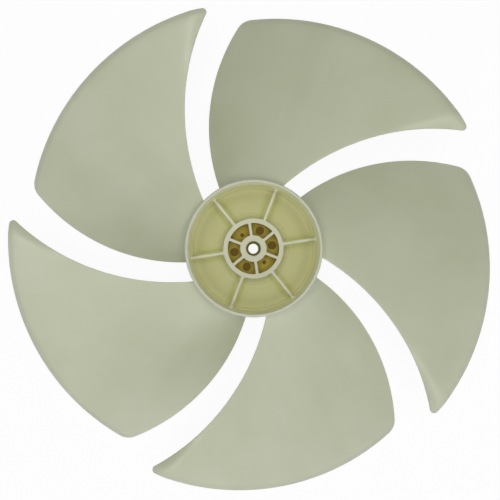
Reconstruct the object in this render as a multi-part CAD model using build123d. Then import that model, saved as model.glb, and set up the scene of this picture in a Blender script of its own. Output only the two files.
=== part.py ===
from build123d import *

import math
import os

# A five-bladed axial fan impeller, moulded in one piece. Millimetres and degrees.
# The axis is Z. Z = 0 is the shoulder inside the boss that the end of the motor shaft seats on,
# and the open side of the hub cup, which faces the motor, looks along +Z.
# Bearings are measured anticlockwise from +X, seen from the open side.

# Hub cup
HUB_RADIUS = 56.1            # outside of the rim
HUB_DEPTH = 65.0             # from the rim to the front face
RIM_WALL = 2.8
FRONT_WALL = 3.0
HUB_DRAFT = 0.7              # taper of the cup's wall, so that it leaves the mould
RIM_CHAMFER = 0.8
FRONT_ROUND = 6.0            # outer corner between the wall and the front face
FLOOR_CHAMFER = 2.0          # inner corner between the wall and the floor

# Thicker middle of the front wall, which carries the boss
PAD_RADIUS = 29.5
PAD_STEP = 1.0

# Boss, ring and the ribs between them, all level on top
BOSS_BELOW_RIM = 40.0
BOSS_RADIUS = 11.1
RING_OUTER_RADIUS = 25.2
RING_INNER_RADIUS = 21.4
RIB_COUNT = 6
RIB_THICKNESS = 2.3
OUTER_RIB_BEARING = 8.9      # first rib from the ring to the wall
INNER_RIB_BEARING = 38.9     # first rib from the boss to the ring
WALL_RIB_FLARE = 2.6         # corner radius where an outer rib meets the wall
RING_RIB_FLARE = 1.4         # and where it meets the ring
INNER_RIB_FLARE = 0.9

# Shaft seat
SOCKET_RADIUS = 6.0          # for the shaft
STUD_HOLE_RADIUS = 4.2       # for the shaft's threaded end
SHOULDER_THICKNESS = 5.5     # what the shaft's shoulder and the nut clamp between them
NUT_RECESS_RADIUS = 12.0
NUT_RECESS_DEPTH = 2.5
BORE_CHAMFER = 0.5

# Round mould marks sunk in the floor of the six inner pockets
PIN_MARK_RADIUS = 3.5
PIN_MARK_PITCH_RADIUS = 16.2
PIN_MARK_BEARINGS = (10.0, 70.0, 190.0, 250.0)
GATE_MARK_RADIUS = 1.65
GATE_MARK_PITCH_RADIUS = 14.8
GATE_MARK_BEARINGS = (129.0, 309.0)
MARK_DEPTH = 1.0

# Blade outline, seen along the axis: each edge is one arc, given by where its centre is and its radius
BLADE_COUNT = 5
TIP_RADIUS = 200.0
LEADING_CENTRE_DISTANCE = 171.7
LEADING_CENTRE_BEARING = -31.0
LEADING_ARC_RADIUS = 185.9
TRAILING_CENTRE_DISTANCE = 166.6
TRAILING_CENTRE_BEARING = 39.3
TRAILING_ARC_RADIUS = 166.8
POINT_ROUND = 3.0            # corner where the leading edge meets the tip
HEEL_ROUND = 14.0            # corner where the trailing edge meets the tip

# Blade height: how far each edge lies below the rim
LEADING_DROP_AT_HUB = 20.5
LEADING_DROP_AT_TIP = -2.0
TRAILING_DROP_AT_HUB = 40.0
TRAILING_DROP_AT_MIDDLE = 86.0
TRAILING_DROP_AT_TIP = 106.0
MIDDLE_RADIUS = 130.0
CAMBER_AT_HUB = 0.10         # 0 is a straight section, 1 is level at the leading edge
CAMBER_AT_TIP = 0.50

# Blade section
BLADE_THICKNESS = 3.0        # in the middle
EDGE_THICKNESS = 1.6         # at the leading and trailing edges and the tip
ROOT_FLARE = 5.0             # added thickness where the blade runs into the hub's wall
ROOT_FLARE_LENGTH = 7.0

# The leading edge folds down towards the point, and the whole tip turns down in a narrow lip
FOLD_LENGTH = 43.0           # how far in from the tip the fold starts
FOLD_WIDTH = 11.0            # at the tip
FOLD_SLOPE = 0.90            # rise over run
LIP_WIDTH = 6.0
LIP_SLOPE = 0.45
BEND_SOFTNESS = 3.0          # length over which either bend turns

# Lofting: where the blade is sectioned
CHORD_FRACTIONS = (-0.04, 0.0, 0.03, 0.06, 0.10, 0.17, 0.30, 0.50, 0.70, 0.87, 1.0, 1.04)
ROOT_SECTIONS = 3            # across the root flare
SPAN_SECTIONS = 6            # from there to where the lip starts
LIP_SECTIONS = 4             # across the lip
OVERRUN = 3.0                # how far the loft runs past the tip before it is trimmed

NUT_SEAT_Z = -SHOULDER_THICKNESS
FRONT_Z = NUT_SEAT_Z - NUT_RECESS_DEPTH
FLOOR_Z = FRONT_Z + FRONT_WALL
PAD_Z = FLOOR_Z + PAD_STEP
RIM_Z = FRONT_Z + HUB_DEPTH
BOSS_Z = RIM_Z - BOSS_BELOW_RIM


def polar(radius, bearing):
    return (radius * math.cos(math.radians(bearing)), radius * math.sin(math.radians(bearing)))


def edge_bearing(radius, centre_distance, centre_bearing, arc_radius):
    """Where a circle round the axis crosses an edge's arc, by the law of cosines."""
    cosine = (radius**2 + centre_distance**2 - arc_radius**2) / (2 * radius * centre_distance)
    return centre_bearing + math.degrees(math.acos(cosine))


def leading_bearing(radius):
    return edge_bearing(radius, LEADING_CENTRE_DISTANCE, LEADING_CENTRE_BEARING, LEADING_ARC_RADIUS)


def trailing_bearing(radius):
    return edge_bearing(radius, TRAILING_CENTRE_DISTANCE, TRAILING_CENTRE_BEARING, TRAILING_ARC_RADIUS)


def span_fraction(radius):
    return (radius - HUB_RADIUS) / (TIP_RADIUS - HUB_RADIUS)


def between(start, end, fraction):
    return start + (end - start) * fraction


def trailing_drop(radius):
    """A parabola through the trailing edge's drops at the hub, the middle and the tip."""
    stations = (
        (HUB_RADIUS, TRAILING_DROP_AT_HUB),
        (MIDDLE_RADIUS, TRAILING_DROP_AT_MIDDLE),
        (TIP_RADIUS, TRAILING_DROP_AT_TIP),
    )
    total = 0.0
    for here, drop in stations:
        others = [other for other, _ in stations if other != here]
        total += drop * math.prod((radius - other) / (here - other) for other in others)
    return total


def bend(distance):
    """0 well before a bend, the distance itself well past it, and a soft curve between."""
    return (distance + math.hypot(distance, BEND_SOFTNESS)) / 2


def blade_height(radius, bearing):
    """Height of the blade's middle surface."""
    start = leading_bearing(radius)
    chord = (bearing - start) / (trailing_bearing(radius) - start)
    camber = between(CAMBER_AT_HUB, CAMBER_AT_TIP, span_fraction(radius))
    curve = (1 - camber) * chord + camber * chord**2
    leading = between(LEADING_DROP_AT_HUB, LEADING_DROP_AT_TIP, span_fraction(radius))
    drop = between(leading, trailing_drop(radius), curve)
    fold_width = FOLD_WIDTH * (1 - (TIP_RADIUS - radius) / FOLD_LENGTH)
    drop += FOLD_SLOPE * bend(fold_width - math.radians(bearing - start) * radius)
    drop += LIP_SLOPE * bend(radius - TIP_RADIUS + LIP_WIDTH)
    return RIM_Z - drop


def steepness(radius, bearing):
    """How much longer a vertical line through the blade is than one square to it."""
    step = 0.5
    turn = math.degrees(step / radius)
    outward = blade_height(radius + step, bearing) - blade_height(radius - step, bearing)
    around = blade_height(radius, bearing + turn) - blade_height(radius, bearing - turn)
    return math.hypot(1, outward / (2 * step), around / (2 * step))


def blade_thickness(radius, chord):
    """Thickest in the middle and at the root, thin at the two edges and the tip."""
    inboard = 1 - max(span_fraction(radius), 0) ** 6
    middle = 1 - (2 * chord - 1) ** 4
    flare = max(0, 1 - (radius - HUB_RADIUS) / ROOT_FLARE_LENGTH) ** 2
    return between(EDGE_THICKNESS, BLADE_THICKNESS, inboard * middle) + ROOT_FLARE * flare


def blade_section(radius, side):
    """One face of the blade where a cylinder round the axis cuts it; side is +1 for the motor's."""
    start = leading_bearing(radius)
    end = trailing_bearing(radius)
    points = []
    for chord in CHORD_FRACTIONS:
        bearing = between(start, end, chord)
        half = side * blade_thickness(radius, chord) / 2 * steepness(radius, bearing)
        points.append((*polar(radius, bearing), blade_height(radius, bearing) + half))
    return Wire([Edge.make_spline(points, parameters=CHORD_FRACTIONS)])


def section_radii():
    """Radii of the blade's sections, closest together across the root flare and the lip."""
    stations = (
        (HUB_RADIUS - RIM_WALL / 2, ROOT_SECTIONS),
        (HUB_RADIUS + ROOT_FLARE_LENGTH, SPAN_SECTIONS),
        (TIP_RADIUS - 3 * LIP_WIDTH, LIP_SECTIONS),
        (TIP_RADIUS + OVERRUN, 1),
    )
    radii = []
    for (start, count), (end, _) in zip(stations, stations[1:]):
        radii += [between(start, end, i / count) for i in range(count)]
    return radii + [TIP_RADIUS + OVERRUN]


def blade_outline():
    """The blade seen along the axis, with its two tip corners rounded."""
    leading = Pos(*polar(LEADING_CENTRE_DISTANCE, LEADING_CENTRE_BEARING)) * Circle(LEADING_ARC_RADIUS)
    trailing = Pos(*polar(TRAILING_CENTRE_DISTANCE, TRAILING_CENTRE_BEARING)) * Circle(TRAILING_ARC_RADIUS)
    outline = (Circle(TIP_RADIUS) & trailing) - leading
    for corner_bearing, corner_round in (
        (leading_bearing(TIP_RADIUS), POINT_ROUND),
        (trailing_bearing(TIP_RADIUS), HEEL_ROUND),
    ):
        corner = outline.vertices().sort_by_distance(polar(TIP_RADIUS, corner_bearing))[0]
        outline = fillet(corner, corner_round)
    return outline


def blade():
    """A sheet of the blade's thickness between two lofted faces, trimmed to the blade's outline."""
    radii = section_radii()
    faces = {}
    for side in (1, -1):
        faces[side] = Shell.make_loft([blade_section(radius, side) for radius in radii]).face()
    closing = []
    for edge in faces[1].edges():
        across = faces[-1].edges().sort_by_distance(edge.center())[0]
        closing.append(Face.make_surface_from_curves(edge, across))
    sheet = Solid(Shell([faces[1], faces[-1], *closing]))
    reach = 2 * TIP_RADIUS
    return sheet & Pos(0, 0, RIM_Z - reach) * extrude(blade_outline(), 2 * reach)


def draft_inset(z):
    """How far the cup's wall has leaned in at a height, below its size at the rim."""
    return (RIM_Z - z) * math.tan(math.radians(HUB_DRAFT))


def hub_outside():
    """The hub as if it were solid: tapered, chamfered at the rim and rounded at the front."""
    front_corner = (HUB_RADIUS - draft_inset(FRONT_Z), FRONT_Z)
    rim_corner = (HUB_RADIUS, RIM_Z)
    profile = make_face(Polyline((0, FRONT_Z), front_corner, rim_corner, (0, RIM_Z), close=True))
    profile = fillet(profile.vertices().sort_by_distance(front_corner)[0], FRONT_ROUND)
    profile = chamfer(profile.vertices().sort_by_distance(rim_corner)[0], RIM_CHAMFER)
    return revolve(Plane.XZ * profile, Axis.Z)


def hub_inside():
    """The hollow of the cup, down to its floor and the thicker pad in the middle."""
    wall_inside = HUB_RADIUS - RIM_WALL
    floor_corner = (wall_inside - draft_inset(FLOOR_Z), FLOOR_Z)
    outline = Polyline(
        (0, PAD_Z),
        (PAD_RADIUS, PAD_Z),
        (PAD_RADIUS + PAD_STEP, FLOOR_Z),
        floor_corner,
        (wall_inside - draft_inset(RIM_Z - RIM_CHAMFER), RIM_Z - RIM_CHAMFER),
        (wall_inside + RIM_CHAMFER, RIM_Z),
        (0, RIM_Z),
        close=True,
    )
    profile = make_face(outline)
    profile = chamfer(profile.vertices().sort_by_distance(floor_corner)[0], FLOOR_CHAMFER)
    return revolve(Plane.XZ * profile, Axis.Z)


def ribs(first_bearing, inner, outer):
    """Straight ribs in plan, from one radius to another, evenly spaced round the axis."""
    rib = Pos((inner + outer) / 2, 0) * Rectangle(outer - inner, RIB_THICKNESS)
    return [Rot(0, 0, first_bearing + 360 * i / RIB_COUNT) * rib for i in range(RIB_COUNT)]


def web():
    """The boss, the ring and both sets of ribs, with a band buried in the wall for the ribs' outer flares."""
    wall_inside = HUB_RADIUS - RIM_WALL
    wall_middle = HUB_RADIUS - RIM_WALL / 2
    ring_middle = (RING_INNER_RADIUS + RING_OUTER_RADIUS) / 2
    plan = Circle(BOSS_RADIUS)
    plan += Circle(RING_OUTER_RADIUS) - Circle(RING_INNER_RADIUS)
    plan += Circle(wall_middle) - Circle(wall_inside)
    plan += ribs(OUTER_RIB_BEARING, ring_middle, (wall_inside + wall_middle) / 2)
    plan += ribs(INNER_RIB_BEARING, BOSS_RADIUS - RIB_THICKNESS, ring_middle)
    for radius, flare in (
        (BOSS_RADIUS, INNER_RIB_FLARE),
        (RING_INNER_RADIUS, INNER_RIB_FLARE),
        (RING_OUTER_RADIUS, RING_RIB_FLARE),
        (wall_inside, WALL_RIB_FLARE),
    ):
        corners = [v for v in plan.vertices() if abs(math.hypot(v.X, v.Y) - radius) < 0.1]
        plan = fillet(corners, flare)
    foot_z = FRONT_Z + FRONT_WALL / 2
    return Pos(0, 0, foot_z) * extrude(plan, BOSS_Z - foot_z) & hub_outside()


def disc(radius, bottom, top):
    """An upright cylinder between two heights."""
    return Pos(0, 0, bottom) * extrude(Circle(radius), top - bottom)


def shaft_seat():
    """What is bored out of the boss: the shaft's socket, the hole for its stud and the nut's recess."""
    mouth = Pos(0, 0, BOSS_Z - BORE_CHAMFER) * extrude(
        Circle(SOCKET_RADIUS), 2 * BORE_CHAMFER, taper=-45
    )
    socket = disc(SOCKET_RADIUS, 0, BOSS_Z)
    stud_hole = disc(STUD_HOLE_RADIUS, FRONT_Z - 1, BOSS_Z)
    recess = disc(NUT_RECESS_RADIUS, FRONT_Z - 1, NUT_SEAT_Z)
    return socket + stud_hole + recess + mouth


def mould_marks():
    marks = []
    for radius, pitch_radius, bearings in (
        (PIN_MARK_RADIUS, PIN_MARK_PITCH_RADIUS, PIN_MARK_BEARINGS),
        (GATE_MARK_RADIUS, GATE_MARK_PITCH_RADIUS, GATE_MARK_BEARINGS),
    ):
        for bearing in bearings:
            marks.append(Pos(*polar(pitch_radius, bearing)) * disc(radius, PAD_Z - MARK_DEPTH, PAD_Z + 1))
    return marks


def impeller():
    one_blade = blade()
    blades = [Rot(0, 0, 360 * i / BLADE_COUNT) * one_blade for i in range(BLADE_COUNT)]
    body = hub_outside() - hub_inside() + web() + blades
    return body - shaft_seat() - mould_marks()


os.makedirs("parts", exist_ok=True)
whole = impeller()
export_step(whole, "parts/impeller.step")
print("volume", round(whole.volume), "faces", len(whole.faces()))
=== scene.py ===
# %% [markdown]
# # An axial fan impeller in moulded plastic
#
# The fan is one moulding: a deep hub cup, a ribbed web round the boss for the motor's shaft, and five swept
# blades. Its shape is exact already, so this lesson adds none. It gives the plastic its finish, puts the fan on
# a white floor, lights it, and looks down on it from above.
#
# The first cell loads the model. Lengths in Blender are metres here. Z runs along the fan's axis, and the open
# side of the hub looks up.

# %% Load the model
import math

import bpy
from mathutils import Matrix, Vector


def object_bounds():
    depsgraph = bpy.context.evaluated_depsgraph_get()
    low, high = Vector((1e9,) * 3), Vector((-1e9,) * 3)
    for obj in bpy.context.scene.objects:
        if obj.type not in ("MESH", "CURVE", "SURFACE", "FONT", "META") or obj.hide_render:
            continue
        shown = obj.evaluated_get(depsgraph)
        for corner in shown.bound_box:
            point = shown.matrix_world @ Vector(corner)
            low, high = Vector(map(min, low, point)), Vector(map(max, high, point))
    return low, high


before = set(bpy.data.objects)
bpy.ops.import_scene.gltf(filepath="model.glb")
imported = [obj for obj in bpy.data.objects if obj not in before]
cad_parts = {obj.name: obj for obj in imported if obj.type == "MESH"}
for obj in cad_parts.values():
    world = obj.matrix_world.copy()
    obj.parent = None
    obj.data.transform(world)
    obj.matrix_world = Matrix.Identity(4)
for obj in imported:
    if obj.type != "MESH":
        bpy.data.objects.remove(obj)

CAD_BOX = [list(corner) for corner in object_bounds()]
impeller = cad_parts["impeller"]
print("loaded", impeller.name, "with", len(impeller.data.polygons), "triangles")

# %% [markdown]
# ## Names for the moulding's own sizes
#
# A finish that changes from place to place needs to know where the rim, the ribs and the pockets are. These few
# lengths say so. Each is a distance from the axis, or a height on it. The outer ribs' bearing and the round
# marks that the mould left in the small pockets are here too.

# %% The moulding's sizes
MM = 0.001
RIM_TOP = 57.0 * MM
RIM_OUTSIDE = 56.1 * MM
CUP_INSIDE = 53.3 * MM
RIB_TOP = 17.0 * MM
PAD_TOP = -4.0 * MM
PAD_EDGE = 30.0 * MM
RING_INSIDE = 21.4 * MM
SOCKET_WALL = 6.0 * MM
BLADE_TIP = 200.0 * MM
RIB_COUNT = 6
OUTER_RIB_BEARING = 8.9  # degrees
PIN_MARKS = {"pitch": 16.2 * MM, "size": 3.5 * MM, "bearings": (10, 70, 190, 250)}
GATE_MARKS = {"pitch": 14.8 * MM, "size": 1.65 * MM, "bearings": (129, 309)}
print("the cup is", round((RIM_TOP - PAD_TOP) / MM), "mm deep and", round(2 * CUP_INSIDE / MM, 1), "mm across")

# %% [markdown]
# ## Writing shader maths as maths
#
# A procedural material is a graph of small nodes. Made call by call it is hard to read, so two short classes
# help. `Signal` wraps a node's output and overloads the usual operators, both ways round: `1 - mask` adds a Math
# node and gives back its output as another `Signal`. Most masks are smooth steps, so `Signal` has words for
# those: `rise` and `fall` between two values, and `past` and `short_of` for a place on the moulding.
#
# `Graph` owns the nodes of one material or world, and its one method `node` makes any node. It applies the
# node's settings first, because they decide which sockets are in use.

# %% Signal


def both_ways(operation):
    """The two methods of one operator: with this signal as the first value, and as the second."""

    def as_first(self, other):
        return self.math(operation, self, other)

    def as_second(self, other):
        return self.math(operation, other, self)

    return as_first, as_second


class Signal:
    """A number, colour or vector that varies over the surface, held as a node's output."""

    __add__, __radd__ = both_ways("ADD")
    __sub__, __rsub__ = both_ways("SUBTRACT")
    __mul__, __rmul__ = both_ways("MULTIPLY")
    __truediv__, __rtruediv__ = both_ways("DIVIDE")
    __pow__, __rpow__ = both_ways("POWER")
    __or__, __ror__ = both_ways("MAXIMUM")  # either of two masks

    def __init__(self, graph, output):
        self.graph = graph
        self.output = output

    def other(self, name):
        """Another output of the same node."""
        return Signal(self.graph, self.output.node.outputs[name])

    def math(self, operation, *values):
        return self.graph.node("ShaderNodeMath", {"operation": operation}, dict(enumerate(values)))

    def rise(self, start, end):
        """0 where this is below start, 1 where it is above end, and a smooth step between."""
        sockets = {"Value": self, "From Min": start, "From Max": end}
        return self.graph.node("ShaderNodeMapRange", {"interpolation_type": "SMOOTHSTEP"}, sockets)

    def fall(self, start, end):
        """1 where this is below start and 0 where it is above end."""
        return 1 - self.rise(start, end)

    def past(self, place, start, end):
        """1 beyond a place; the step runs from start to end, in millimetres beyond the place."""
        return self.rise(place + start * MM, place + end * MM)

    def short_of(self, place, start, end):
        """1 up to a place; the step runs from start to end, in millimetres beyond the place."""
        return self.fall(place + start * MM, place + end * MM)


print("a Signal can", ", ".join(name for name in vars(Signal) if not name.startswith("_")))

# %% Graph


class Graph:
    """The nodes of one material or world, all made by one method."""

    def __init__(self, owner):
        owner.use_nodes = True
        self.tree = owner.node_tree
        self.tree.nodes.clear()

    def node(self, kind, settings, sockets, output=0):
        """Makes a node, sets it up, fills its sockets with values or links, and gives back one output."""
        made = self.tree.nodes.new(kind)
        for name, value in settings.items():
            setattr(made, name, value)
        for key, value in sockets.items():
            socket = self.socket(made.inputs, key)
            if isinstance(value, Signal):
                self.tree.links.new(value.output, socket)
            else:
                socket.default_value = value
        return Signal(self, self.socket(made.outputs, output)) if made.outputs else None

    def socket(self, sockets, key):
        """Finds a socket by its place or its name, among those that the node's settings leave in use."""
        if isinstance(key, int):
            return sockets[key]
        return next(socket for socket in sockets if socket.enabled and socket.name == key)

    def mix(self, factor, first, second):
        """A colour between two others."""
        sockets = {"Factor": factor, "A": first, "B": second}
        return self.node("ShaderNodeMix", {"data_type": "RGBA"}, sockets, "Result")

    def noise(self, vector, scale, detail=2.0, roughness=0.5):
        """Cloudy noise between 0 and 1, with about `scale` lumps to the metre."""
        sockets = {"Vector": vector, "Scale": scale, "Detail": detail, "Roughness": roughness}
        return self.node("ShaderNodeTexNoise", {}, sockets, "Fac")

    def looked_at(self):
        """1 for what the camera sees, straight, in a reflection or through glass, and 0 for light on other paths."""
        camera_ray = self.node("ShaderNodeLightPath", {}, {}, "Is Camera Ray")
        return camera_ray | camera_ray.other("Is Glossy Ray") | camera_ray.other("Is Transmission Ray")


print("a Graph can", ", ".join(name for name in vars(Graph) if not name.startswith("_")))

# %% [markdown]
# ## The camera
#
# The fan is seen from almost straight above, from about 1.3 m away with a long lens, so the blades' tips look
# hardly smaller than the rim. Tilting the camera would centre the hub as well, but it would squash the circles,
# so a little lens shift does it instead.

# %% Camera
CAMERA_PLACE = (-0.01006, -0.0083, 1.36488)
CAMERA_SHIFT = (0.01725, 0.01702)  # shares of the frame's width
LENS = 116.25  # focal length in millimetres
SENSOR_WIDTH = 36  # millimetres
FAR_END = 20  # metres; nothing beyond this is drawn
camera_data = bpy.data.cameras.new("camera")
camera_data.lens = LENS
camera_data.sensor_width = SENSOR_WIDTH
camera_data.shift_x, camera_data.shift_y = CAMERA_SHIFT
camera_data.clip_end = FAR_END
camera = bpy.data.objects.new("camera", camera_data)
bpy.context.collection.objects.link(camera)
camera.location = CAMERA_PLACE
bpy.context.scene.camera = camera
print("the camera is", round(camera.location.z - RIM_TOP, 3), "m above the rim")

# %% [markdown]
# ## The plastic's colours
#
# The fan is moulded in a pale cream plastic with a green cast. Seen close it isn't one colour. Broad patches are
# a little lighter or darker, because the filler in it isn't spread evenly, and faint streaks run outwards from
# the hub, the way the melt flowed into the blades.
#
# Inside the hub cup light passes from wall to wall and through the translucent ribs, and takes on the plastic's
# yellow on the way, while less of it reaches the deep places. That light and shade is painted into the colours
# there: the six outer pockets are painted olive yellow, and the small ones round the boss golden brown, with darker
# discs of painted shade where the ejector pins and the gates stood and in the bore. The cup's wall is painted
# lighter, and also given a faint painted glow. The level tops of the ribs, the ring and the boss stay as pale as the
# blades.
#
# Colours are easiest to choose as a screen shows them, from 0 to 255. A shader works in linear light, so a
# helper turns one into the other.

# %% Colours


def srgb(red, green, blue):
    """A colour as a screen shows it, from 0 to 255, turned into the linear light that a shader works in."""

    def linear(value):
        value /= 255
        return value / 12.92 if value <= 0.04045 else ((value + 0.055) / 1.055) ** 2.4

    return (linear(red), linear(green), linear(blue), 1.0)


BLADE_PALE = srgb(188, 192, 166)
BLADE_DEEP = srgb(180, 184, 155)
TOP_PALE = srgb(188, 188, 164)
RIM_PALE = srgb(190, 191, 166)
# Painted shade and painted light of the outer pockets and the cup's wall: darker and yellower for the shade and
# bounced light down in the cup, deeper by the ribs, lighter at the rib feet, by the wall and on the wall.
POCKET_SHADE = srgb(184, 183, 139)
POCKET_SHADE_BY_RIB = srgb(181, 182, 124)
POCKET_LIGHT_BY_WALL = srgb(208, 207, 158)
RIB_FOOT_LIGHT = srgb(206, 206, 154)
CUP_WALL_LIGHT = srgb(212, 211, 174)
# A painted glow: light of the cup's wall's own, standing in for light passed through it.
WALL_PAINTED_GLOW = srgb(91, 92, 67)
NO_GLOW = srgb(0, 0, 0)
# Painted shade: the small pockets' golden brown, the darker discs on the mould's marks, and the bore.
INNER_POCKET_SHADE = srgb(173, 157, 66)
MARK_SHADE = srgb(112, 90, 34)
BORE_SHADE = srgb(134, 127, 62)
print("mid grey 128 is", round(srgb(128, 128, 128)[0], 3), "as linear light")

# %% [markdown]
# ## Where on the moulding
#
# The zones could be faces picked out by hand, each with a material of its own, but then every zone would end in
# a hard line. Here one material works the zones out from Object coordinates: the place on the fan, in its own
# axes. From them come the radius, which is the distance to the axis, and the height. A mask for a zone is a
# smooth step for the radius times another for the height, and two colours meet softly along it.

# %% Where on the moulding


def distance(east, north):
    """How far a place is from a point, from how far east and north of it the place lies."""
    return (east * east + north * north) ** 0.5


plastic_material = bpy.data.materials.new("moulded_plastic")
plastic = Graph(plastic_material)
position = plastic.node("ShaderNodeTexCoord", {}, {}, "Object")
across = plastic.node("ShaderNodeSeparateXYZ", {}, {"Vector": position})
along = across.other("Y")
height = across.other("Z")
radius = distance(across, along)
print("the place, the height and the radius took", len(plastic.tree.nodes), "nodes")

# %% [markdown]
# ### Patches and flow streaks
#
# Noise read at the place itself gives the patches. The streaks use a direction instead of a place. x and y
# divided by the radius stay the same all the way out along a ray, so noise read there is drawn out into rays
# from the hub. Noise seldom leaves the middle of its range, so that middle is stretched over the two colours.

# %% Patches and streaks
PATCHES_PER_METRE = 14.0
STREAK_FINENESS = 9  # higher gives more streaks round the hub
STREAK_CHANGE = 6  # lumps to the metre along a streak
PATCH_SHARE = 0.75  # of the mottling; the streaks make the rest
patches = plastic.noise(position, PATCHES_PER_METRE, detail=3.0)
ray = plastic.node(
    "ShaderNodeCombineXYZ",
    {},
    {
        "X": across / radius * STREAK_FINENESS,
        "Y": along / radius * STREAK_FINENESS,
        "Z": radius * STREAK_CHANGE,
    },
)
streaks = plastic.noise(ray, 1.0, detail=4.0, roughness=0.6)
tone = (patches * PATCH_SHARE + streaks * (1 - PATCH_SHARE)).rise(0.3, 0.7)
colour = plastic.mix(tone, BLADE_DEEP, BLADE_PALE)
print("the palest patches give back", round(BLADE_PALE[1] / BLADE_DEEP[1], 2), "times the light of the deepest")

# %% [markdown]
# ### Inside the cup
#
# Below the ribs' tops everything belongs to a pocket, and above them only the wall of the cup is left. The plastic
# is translucent, so light soaks in through a wall on one side and out on the other. That light and the shade down in
# the cup are painted into the colours: painted shade deepens a pocket near its ribs, and painted light lightens it
# again in the few millimetres at their feet, over the pad's edge and towards the cup's wall, where the plastic
# behind is thin. A shader that traces light through the plastic would show this by itself, but slowly, so the
# colours are painted by place.
#
# The ribs stand every 60 degrees. The cosine of six times the angle to one of them is 1 on each rib and -1
# halfway between two, and undoing the cosine gives the distance from the nearest rib.

# %% Zones of the cup
in_cup = radius.short_of(CUP_INSIDE, 0.3, 1.2)
below_tops = height.short_of(RIB_TOP, -1.0, -0.2)
on_wall = radius.past(CUP_INSIDE, -1.6, -0.6)
on_pad_edge = radius.past(PAD_EDGE, -1.2, -0.6) * radius.short_of(PAD_EDGE, 0, 0.8)
bearing = along.math("ARCTAN2", along, across)
by_rib = bearing.math("COSINE", (bearing - math.radians(OUTER_RIB_BEARING)) * RIB_COUNT)
off_rib = radius * by_rib.math("ARCCOSINE", by_rib) / RIB_COUNT
print("outer ribs stand at", [OUTER_RIB_BEARING + turn * 360 / RIB_COUNT for turn in range(RIB_COUNT)], "degrees")

# %% Painted light and shade of the cup
MOTTLES_PER_METRE = 90.0
RIB_SHARE = 0.8  # how much of the deepening is the ribs'; mottling makes the rest
RIB_FOOT_START, RIB_FOOT_END = 1.0 * MM, 4.0 * MM  # measured from the rib's middle plane
PAD_EDGE_STRENGTH = 0.3  # against a rib's foot
WALL_SIDE_START = 44 * MM
WALL_SIDE_END = CUP_INSIDE - 1 * MM
mottle = plastic.noise(position, MOTTLES_PER_METRE, detail=3.0).rise(0.35, 0.75)
deepening = by_rib.rise(0.2, 1.0) * RIB_SHARE + mottle * (1 - RIB_SHARE)
lightening = off_rib.fall(RIB_FOOT_START, RIB_FOOT_END) | on_pad_edge * PAD_EDGE_STRENGTH
# Painted shade deepens the pockets by the ribs; painted light lightens them at the rib feet, over the pad's edge, by
# the wall, and on the cup's wall itself.
pocket = plastic.mix(deepening, POCKET_SHADE, POCKET_SHADE_BY_RIB)
pocket = plastic.mix(lightening, pocket, RIB_FOOT_LIGHT)
pocket = plastic.mix(radius.rise(WALL_SIDE_START, WALL_SIDE_END), pocket, POCKET_LIGHT_BY_WALL)
colour = plastic.mix(in_cup * below_tops, colour, pocket)
colour = plastic.mix(in_cup * on_wall, colour, CUP_WALL_LIGHT)
print("a pocket lightens over the last", round((WALL_SIDE_END - WALL_SIDE_START) / MM, 1), "mm before the wall")

# %% [markdown]
# ### The rim and the level tops
#
# The tops of the ribs, the ring and the boss are all at one height, because the grooves that formed them were cut
# to one depth in the mould. They catch the light from above and little of it comes from deep in the plastic, so
# they stay pale, and so does the rim. Since they share one height, a thin slice of it picks them all out at once,
# which is simpler than drawing each rib.

# %% Rim and level tops
rim = radius.past(CUP_INSIDE, -0.3, 0.2) * radius.short_of(RIM_OUTSIDE, 0, 0.5) * height.past(RIM_TOP, -1.6, -0.6)
tops = in_cup * height.past(RIB_TOP, -0.3, -0.1) * height.short_of(RIB_TOP, 0.2, 0.6)
colour = plastic.mix(rim, colour, RIM_PALE)
colour = plastic.mix(tops, colour, TOP_PALE)
print("the rim is", round((RIM_OUTSIDE - CUP_INSIDE) / MM, 1), "mm wide")

# %% [markdown]
# ### The small pockets, their marks and the bore
#
# The small pockets between the boss and the ring are narrow and deep, so little light comes back out of them, and
# their golden brown is painted shade. The mould's marks in their floor get darker discs of painted shade. Each is a
# disc: a smooth step on the distance to its middle. A loop makes the six of them and joins them into one mask. The
# bore's wall and the shoulder at the bottom of the shaft's socket are in shadow, and are painted darker too, as
# painted shade.

# %% Small pockets, marks and bore
in_ring = radius.short_of(RING_INSIDE, -0.1, 0.4) * below_tops
on_floor = height.short_of(PAD_TOP, 0.5, 2)
marks = 0
for kind in (PIN_MARKS, GATE_MARKS):
    for mark_bearing in map(math.radians, kind["bearings"]):
        east = across - kind["pitch"] * math.cos(mark_bearing)
        north = along - kind["pitch"] * math.sin(mark_bearing)
        marks = distance(east, north).short_of(kind["size"], -0.4, 0.4) | marks
bore = radius.short_of(SOCKET_WALL, -0.5, 0.1)
# Painted shade in the small pockets, on the marks in their floor and in the bore.
colour = plastic.mix(in_ring, colour, INNER_POCKET_SHADE)
colour = plastic.mix(marks * in_ring * on_floor, colour, MARK_SHADE)
colour = plastic.mix(bore, colour, BORE_SHADE)
print("marked", len(PIN_MARKS["bearings"]), "ejector pins and", len(GATE_MARKS["bearings"]), "gates")

# %% [markdown]
# ### Edges and relief
#
# A mould's edges are slightly blunt. Blunting them in the mesh would change an exact shape, so a Bevel node
# rounds only the shading over every edge: most on the blades, and least on the narrow tops. A bump then eases
# the light off over the last few millimetres of the blades' tips, where the plastic thins to an edge.
#
# A spark-eroded mould leaves a fine grain on the skin, and thick places sink a little as they cool. The grain is
# far too small to model, so it goes into the shading through a second Bump node, and the sinks go with it.

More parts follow.
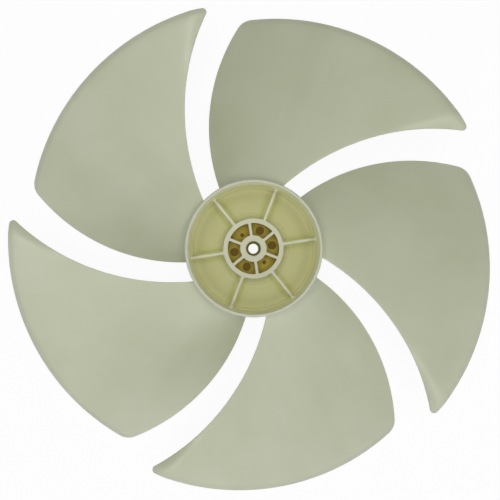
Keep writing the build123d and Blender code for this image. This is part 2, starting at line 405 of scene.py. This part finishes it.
# %% Edges and relief
BLUNT_EDGE = 0.9 * MM
BLUNT_TOPS = 0.2 * MM
BLUNT_BLADES = 1.6 * MM
BEVEL_SAMPLES = 8
TIP_DROP = 1.1 * MM
GRAINS_PER_METRE = 1400.0
SINKS_PER_METRE = 30.0
SINK_DEPTH = 3  # times the grain's
RELIEF_DEPTH = 0.12 * MM
RELIEF_STRENGTH = 0.25
on_blade = radius.past(RIM_OUTSIDE, 2, 6)
bluntness = BLUNT_EDGE + tops * (BLUNT_TOPS - BLUNT_EDGE) + on_blade * (BLUNT_BLADES - BLUNT_EDGE)
blunted = plastic.node("ShaderNodeBevel", {"samples": BEVEL_SAMPLES}, {"Radius": bluntness})
thinning = radius.short_of(BLADE_TIP, -5, 1)
eased = plastic.node("ShaderNodeBump", {}, {"Distance": TIP_DROP, "Height": thinning, "Normal": blunted})
grain = plastic.noise(position, GRAINS_PER_METRE, detail=2.0)
sink = plastic.noise(position, SINKS_PER_METRE, detail=1.0)
relief = plastic.node(
    "ShaderNodeBump",
    {},
    {
        "Strength": RELIEF_STRENGTH,
        "Distance": RELIEF_DEPTH,
        "Height": grain + sink * SINK_DEPTH,
        "Normal": eased,
    },
)
print("the grain's lumps are about", round(1 / GRAINS_PER_METRE / MM, 1), "mm across")

# %% [markdown]
# ### Sheen and glow
#
# The blades have a soft sheen that isn't quite even. Down in the pockets the tool was left rougher, so they hardly
# shine. The cup's wall also passes light in from outside. Tracing that light through the plastic is slow, and it
# comes out nearly even, so a faint glow of the wall's own stands for it: painted light, which also lightens the
# wall's shaded band.
#
# All the signals meet in one Principled shader, which becomes the impeller's only material.

# %% Sheen, glow and the whole material
ROUGHNESS = 0.45
ROUGHNESS_SPREAD = 0.12
POCKET_ROUGHER = 0.45
REFLECTION = 0.35  # a polished plastic's would be 0.5
WALL_GLOW_START = 50.8 * MM
WALL_GLOW_END = CUP_INSIDE - 0.8 * MM
GLOSS_PATCHES_PER_METRE = 60.0
gloss = plastic.noise(position, GLOSS_PATCHES_PER_METRE, detail=3.0)
roughness = ROUGHNESS + gloss * ROUGHNESS_SPREAD + in_cup * below_tops * POCKET_ROUGHER
# Painted light: a faint glow on the cup's wall, up to a few millimetres below the rim.
painted_glow = in_cup * radius.rise(WALL_GLOW_START, WALL_GLOW_END) * height.short_of(RIM_TOP, -6, -1)
surface = plastic.node(
    "ShaderNodeBsdfPrincipled",
    {},
    {
        "Base Color": colour,
        "Roughness": roughness,
        "Specular IOR Level": REFLECTION,
        "Emission Color": plastic.mix(painted_glow, NO_GLOW, WALL_PAINTED_GLOW),
        "Emission Strength": 1.0,
        "Normal": relief,
    },
)
plastic.node("ShaderNodeOutputMaterial", {}, {"Surface": surface})
impeller.data.materials.clear()
impeller.data.materials.append(plastic_material)
print("the plastic has", len(plastic.tree.nodes), "nodes")

# %% [markdown]
# ## The floor
#
# The fan lies on white paper. Lit paper never looks quite white, and more light would spoil the fan, so where
# the camera looks, most of the paper's shader is a plain white glow of strength 1. The rest is matte paper,
# which keeps the fan's soft shadow.

# %% Floor
FLOOR_WIDTH = 6  # metres
FLOOR_GAP = 0.2 * MM  # below the lowest blade, so that the two never share a plane
PAPER = (0.85, 0.85, 0.85, 1)
WHITE = (1, 1, 1, 1)
GLOW_SHARE = 0.93
lowest = CAD_BOX[0][2]
bpy.ops.object.select_all(action="DESELECT")
bpy.ops.mesh.primitive_plane_add(size=FLOOR_WIDTH, location=(0, 0, lowest - FLOOR_GAP))
floor = bpy.context.object
floor.name = "studio_floor"
paper_material = bpy.data.materials.new("white_paper")
paper = Graph(paper_material)
matte = paper.node("ShaderNodeBsdfDiffuse", {}, {"Color": PAPER})
glow = paper.node("ShaderNodeEmission", {}, {"Color": WHITE, "Strength": 1.0})
blend = paper.node("ShaderNodeMixShader", {}, {0: paper.looked_at() * GLOW_SHARE, 1: matte, 2: glow})
paper.node("ShaderNodeOutputMaterial", {}, {"Surface": blend})
floor.data.materials.append(paper_material)
print("the floor is", round((RIM_TOP - floor.location.z) / MM, 1), "mm below the rim")

# %% [markdown]
# ## The world
#
# A white sky fills the shadows a little from every side. It is white for the camera, and much weaker as a light.

# %% World
SKY = 0.13
world = bpy.data.worlds.new("studio")
bpy.context.scene.world = world
sky = Graph(world)
sky_strength = sky.looked_at() * (1 - SKY) + SKY
background = sky.node("ShaderNodeBackground", {}, {"Color": WHITE, "Strength": sky_strength})
sky.node("ShaderNodeOutputWorld", {}, {"Surface": background})
print("the sky gives", SKY, "of full light from every side")

# %% [markdown]
# ## The lamps
#
# A broad lamp overhead gives most of the light and reaches down into the cup. Two weaker ones stand low at the
# near side, to the left and the right: they skim over the blades and show how each is pitched and curved. Area
# lamps would do, but they light the near blades more than the far ones. A sun is as strong everywhere, and its
# angle sets how soft the shadows are. A sun of strength pi, square on, lights a surface so that its colour
# renders as it is written.

# %% Lamps
NEUTRAL = (1.0, 1.0, 1.0)
COOL = (0.99, 1.0, 1.22)


def lamp(name, bearing, elevation, level, width, tint):
    """A soft sun; bearing, elevation and width are in degrees, and level 1 lights a colour as it is written."""
    data = bpy.data.lights.new(name, "SUN")
    data.energy = math.pi * level
    data.angle = math.radians(width)
    data.color = tint
    made = bpy.data.objects.new(name, data)
    bpy.context.collection.objects.link(made)
    bearing, elevation = math.radians(bearing), math.radians(elevation)
    towards = Vector((
        math.cos(bearing) * math.cos(elevation),
        math.sin(bearing) * math.cos(elevation),
        math.sin(elevation),
    ))
    made.rotation_euler = towards.to_track_quat("Z", "Y").to_euler()
    return made


lamps = [
    lamp("overhead", bearing=0, elevation=90, level=0.655, width=30, tint=NEUTRAL),
    lamp("low_left", bearing=225, elevation=24, level=0.155, width=50, tint=COOL),
    lamp("low_right", bearing=315, elevation=24, level=0.22, width=50, tint=COOL),
]
bpy.context.scene.view_settings.view_transform = "Standard"
print("lamps", {made.name: round(made.data.energy, 2) for made in lamps})
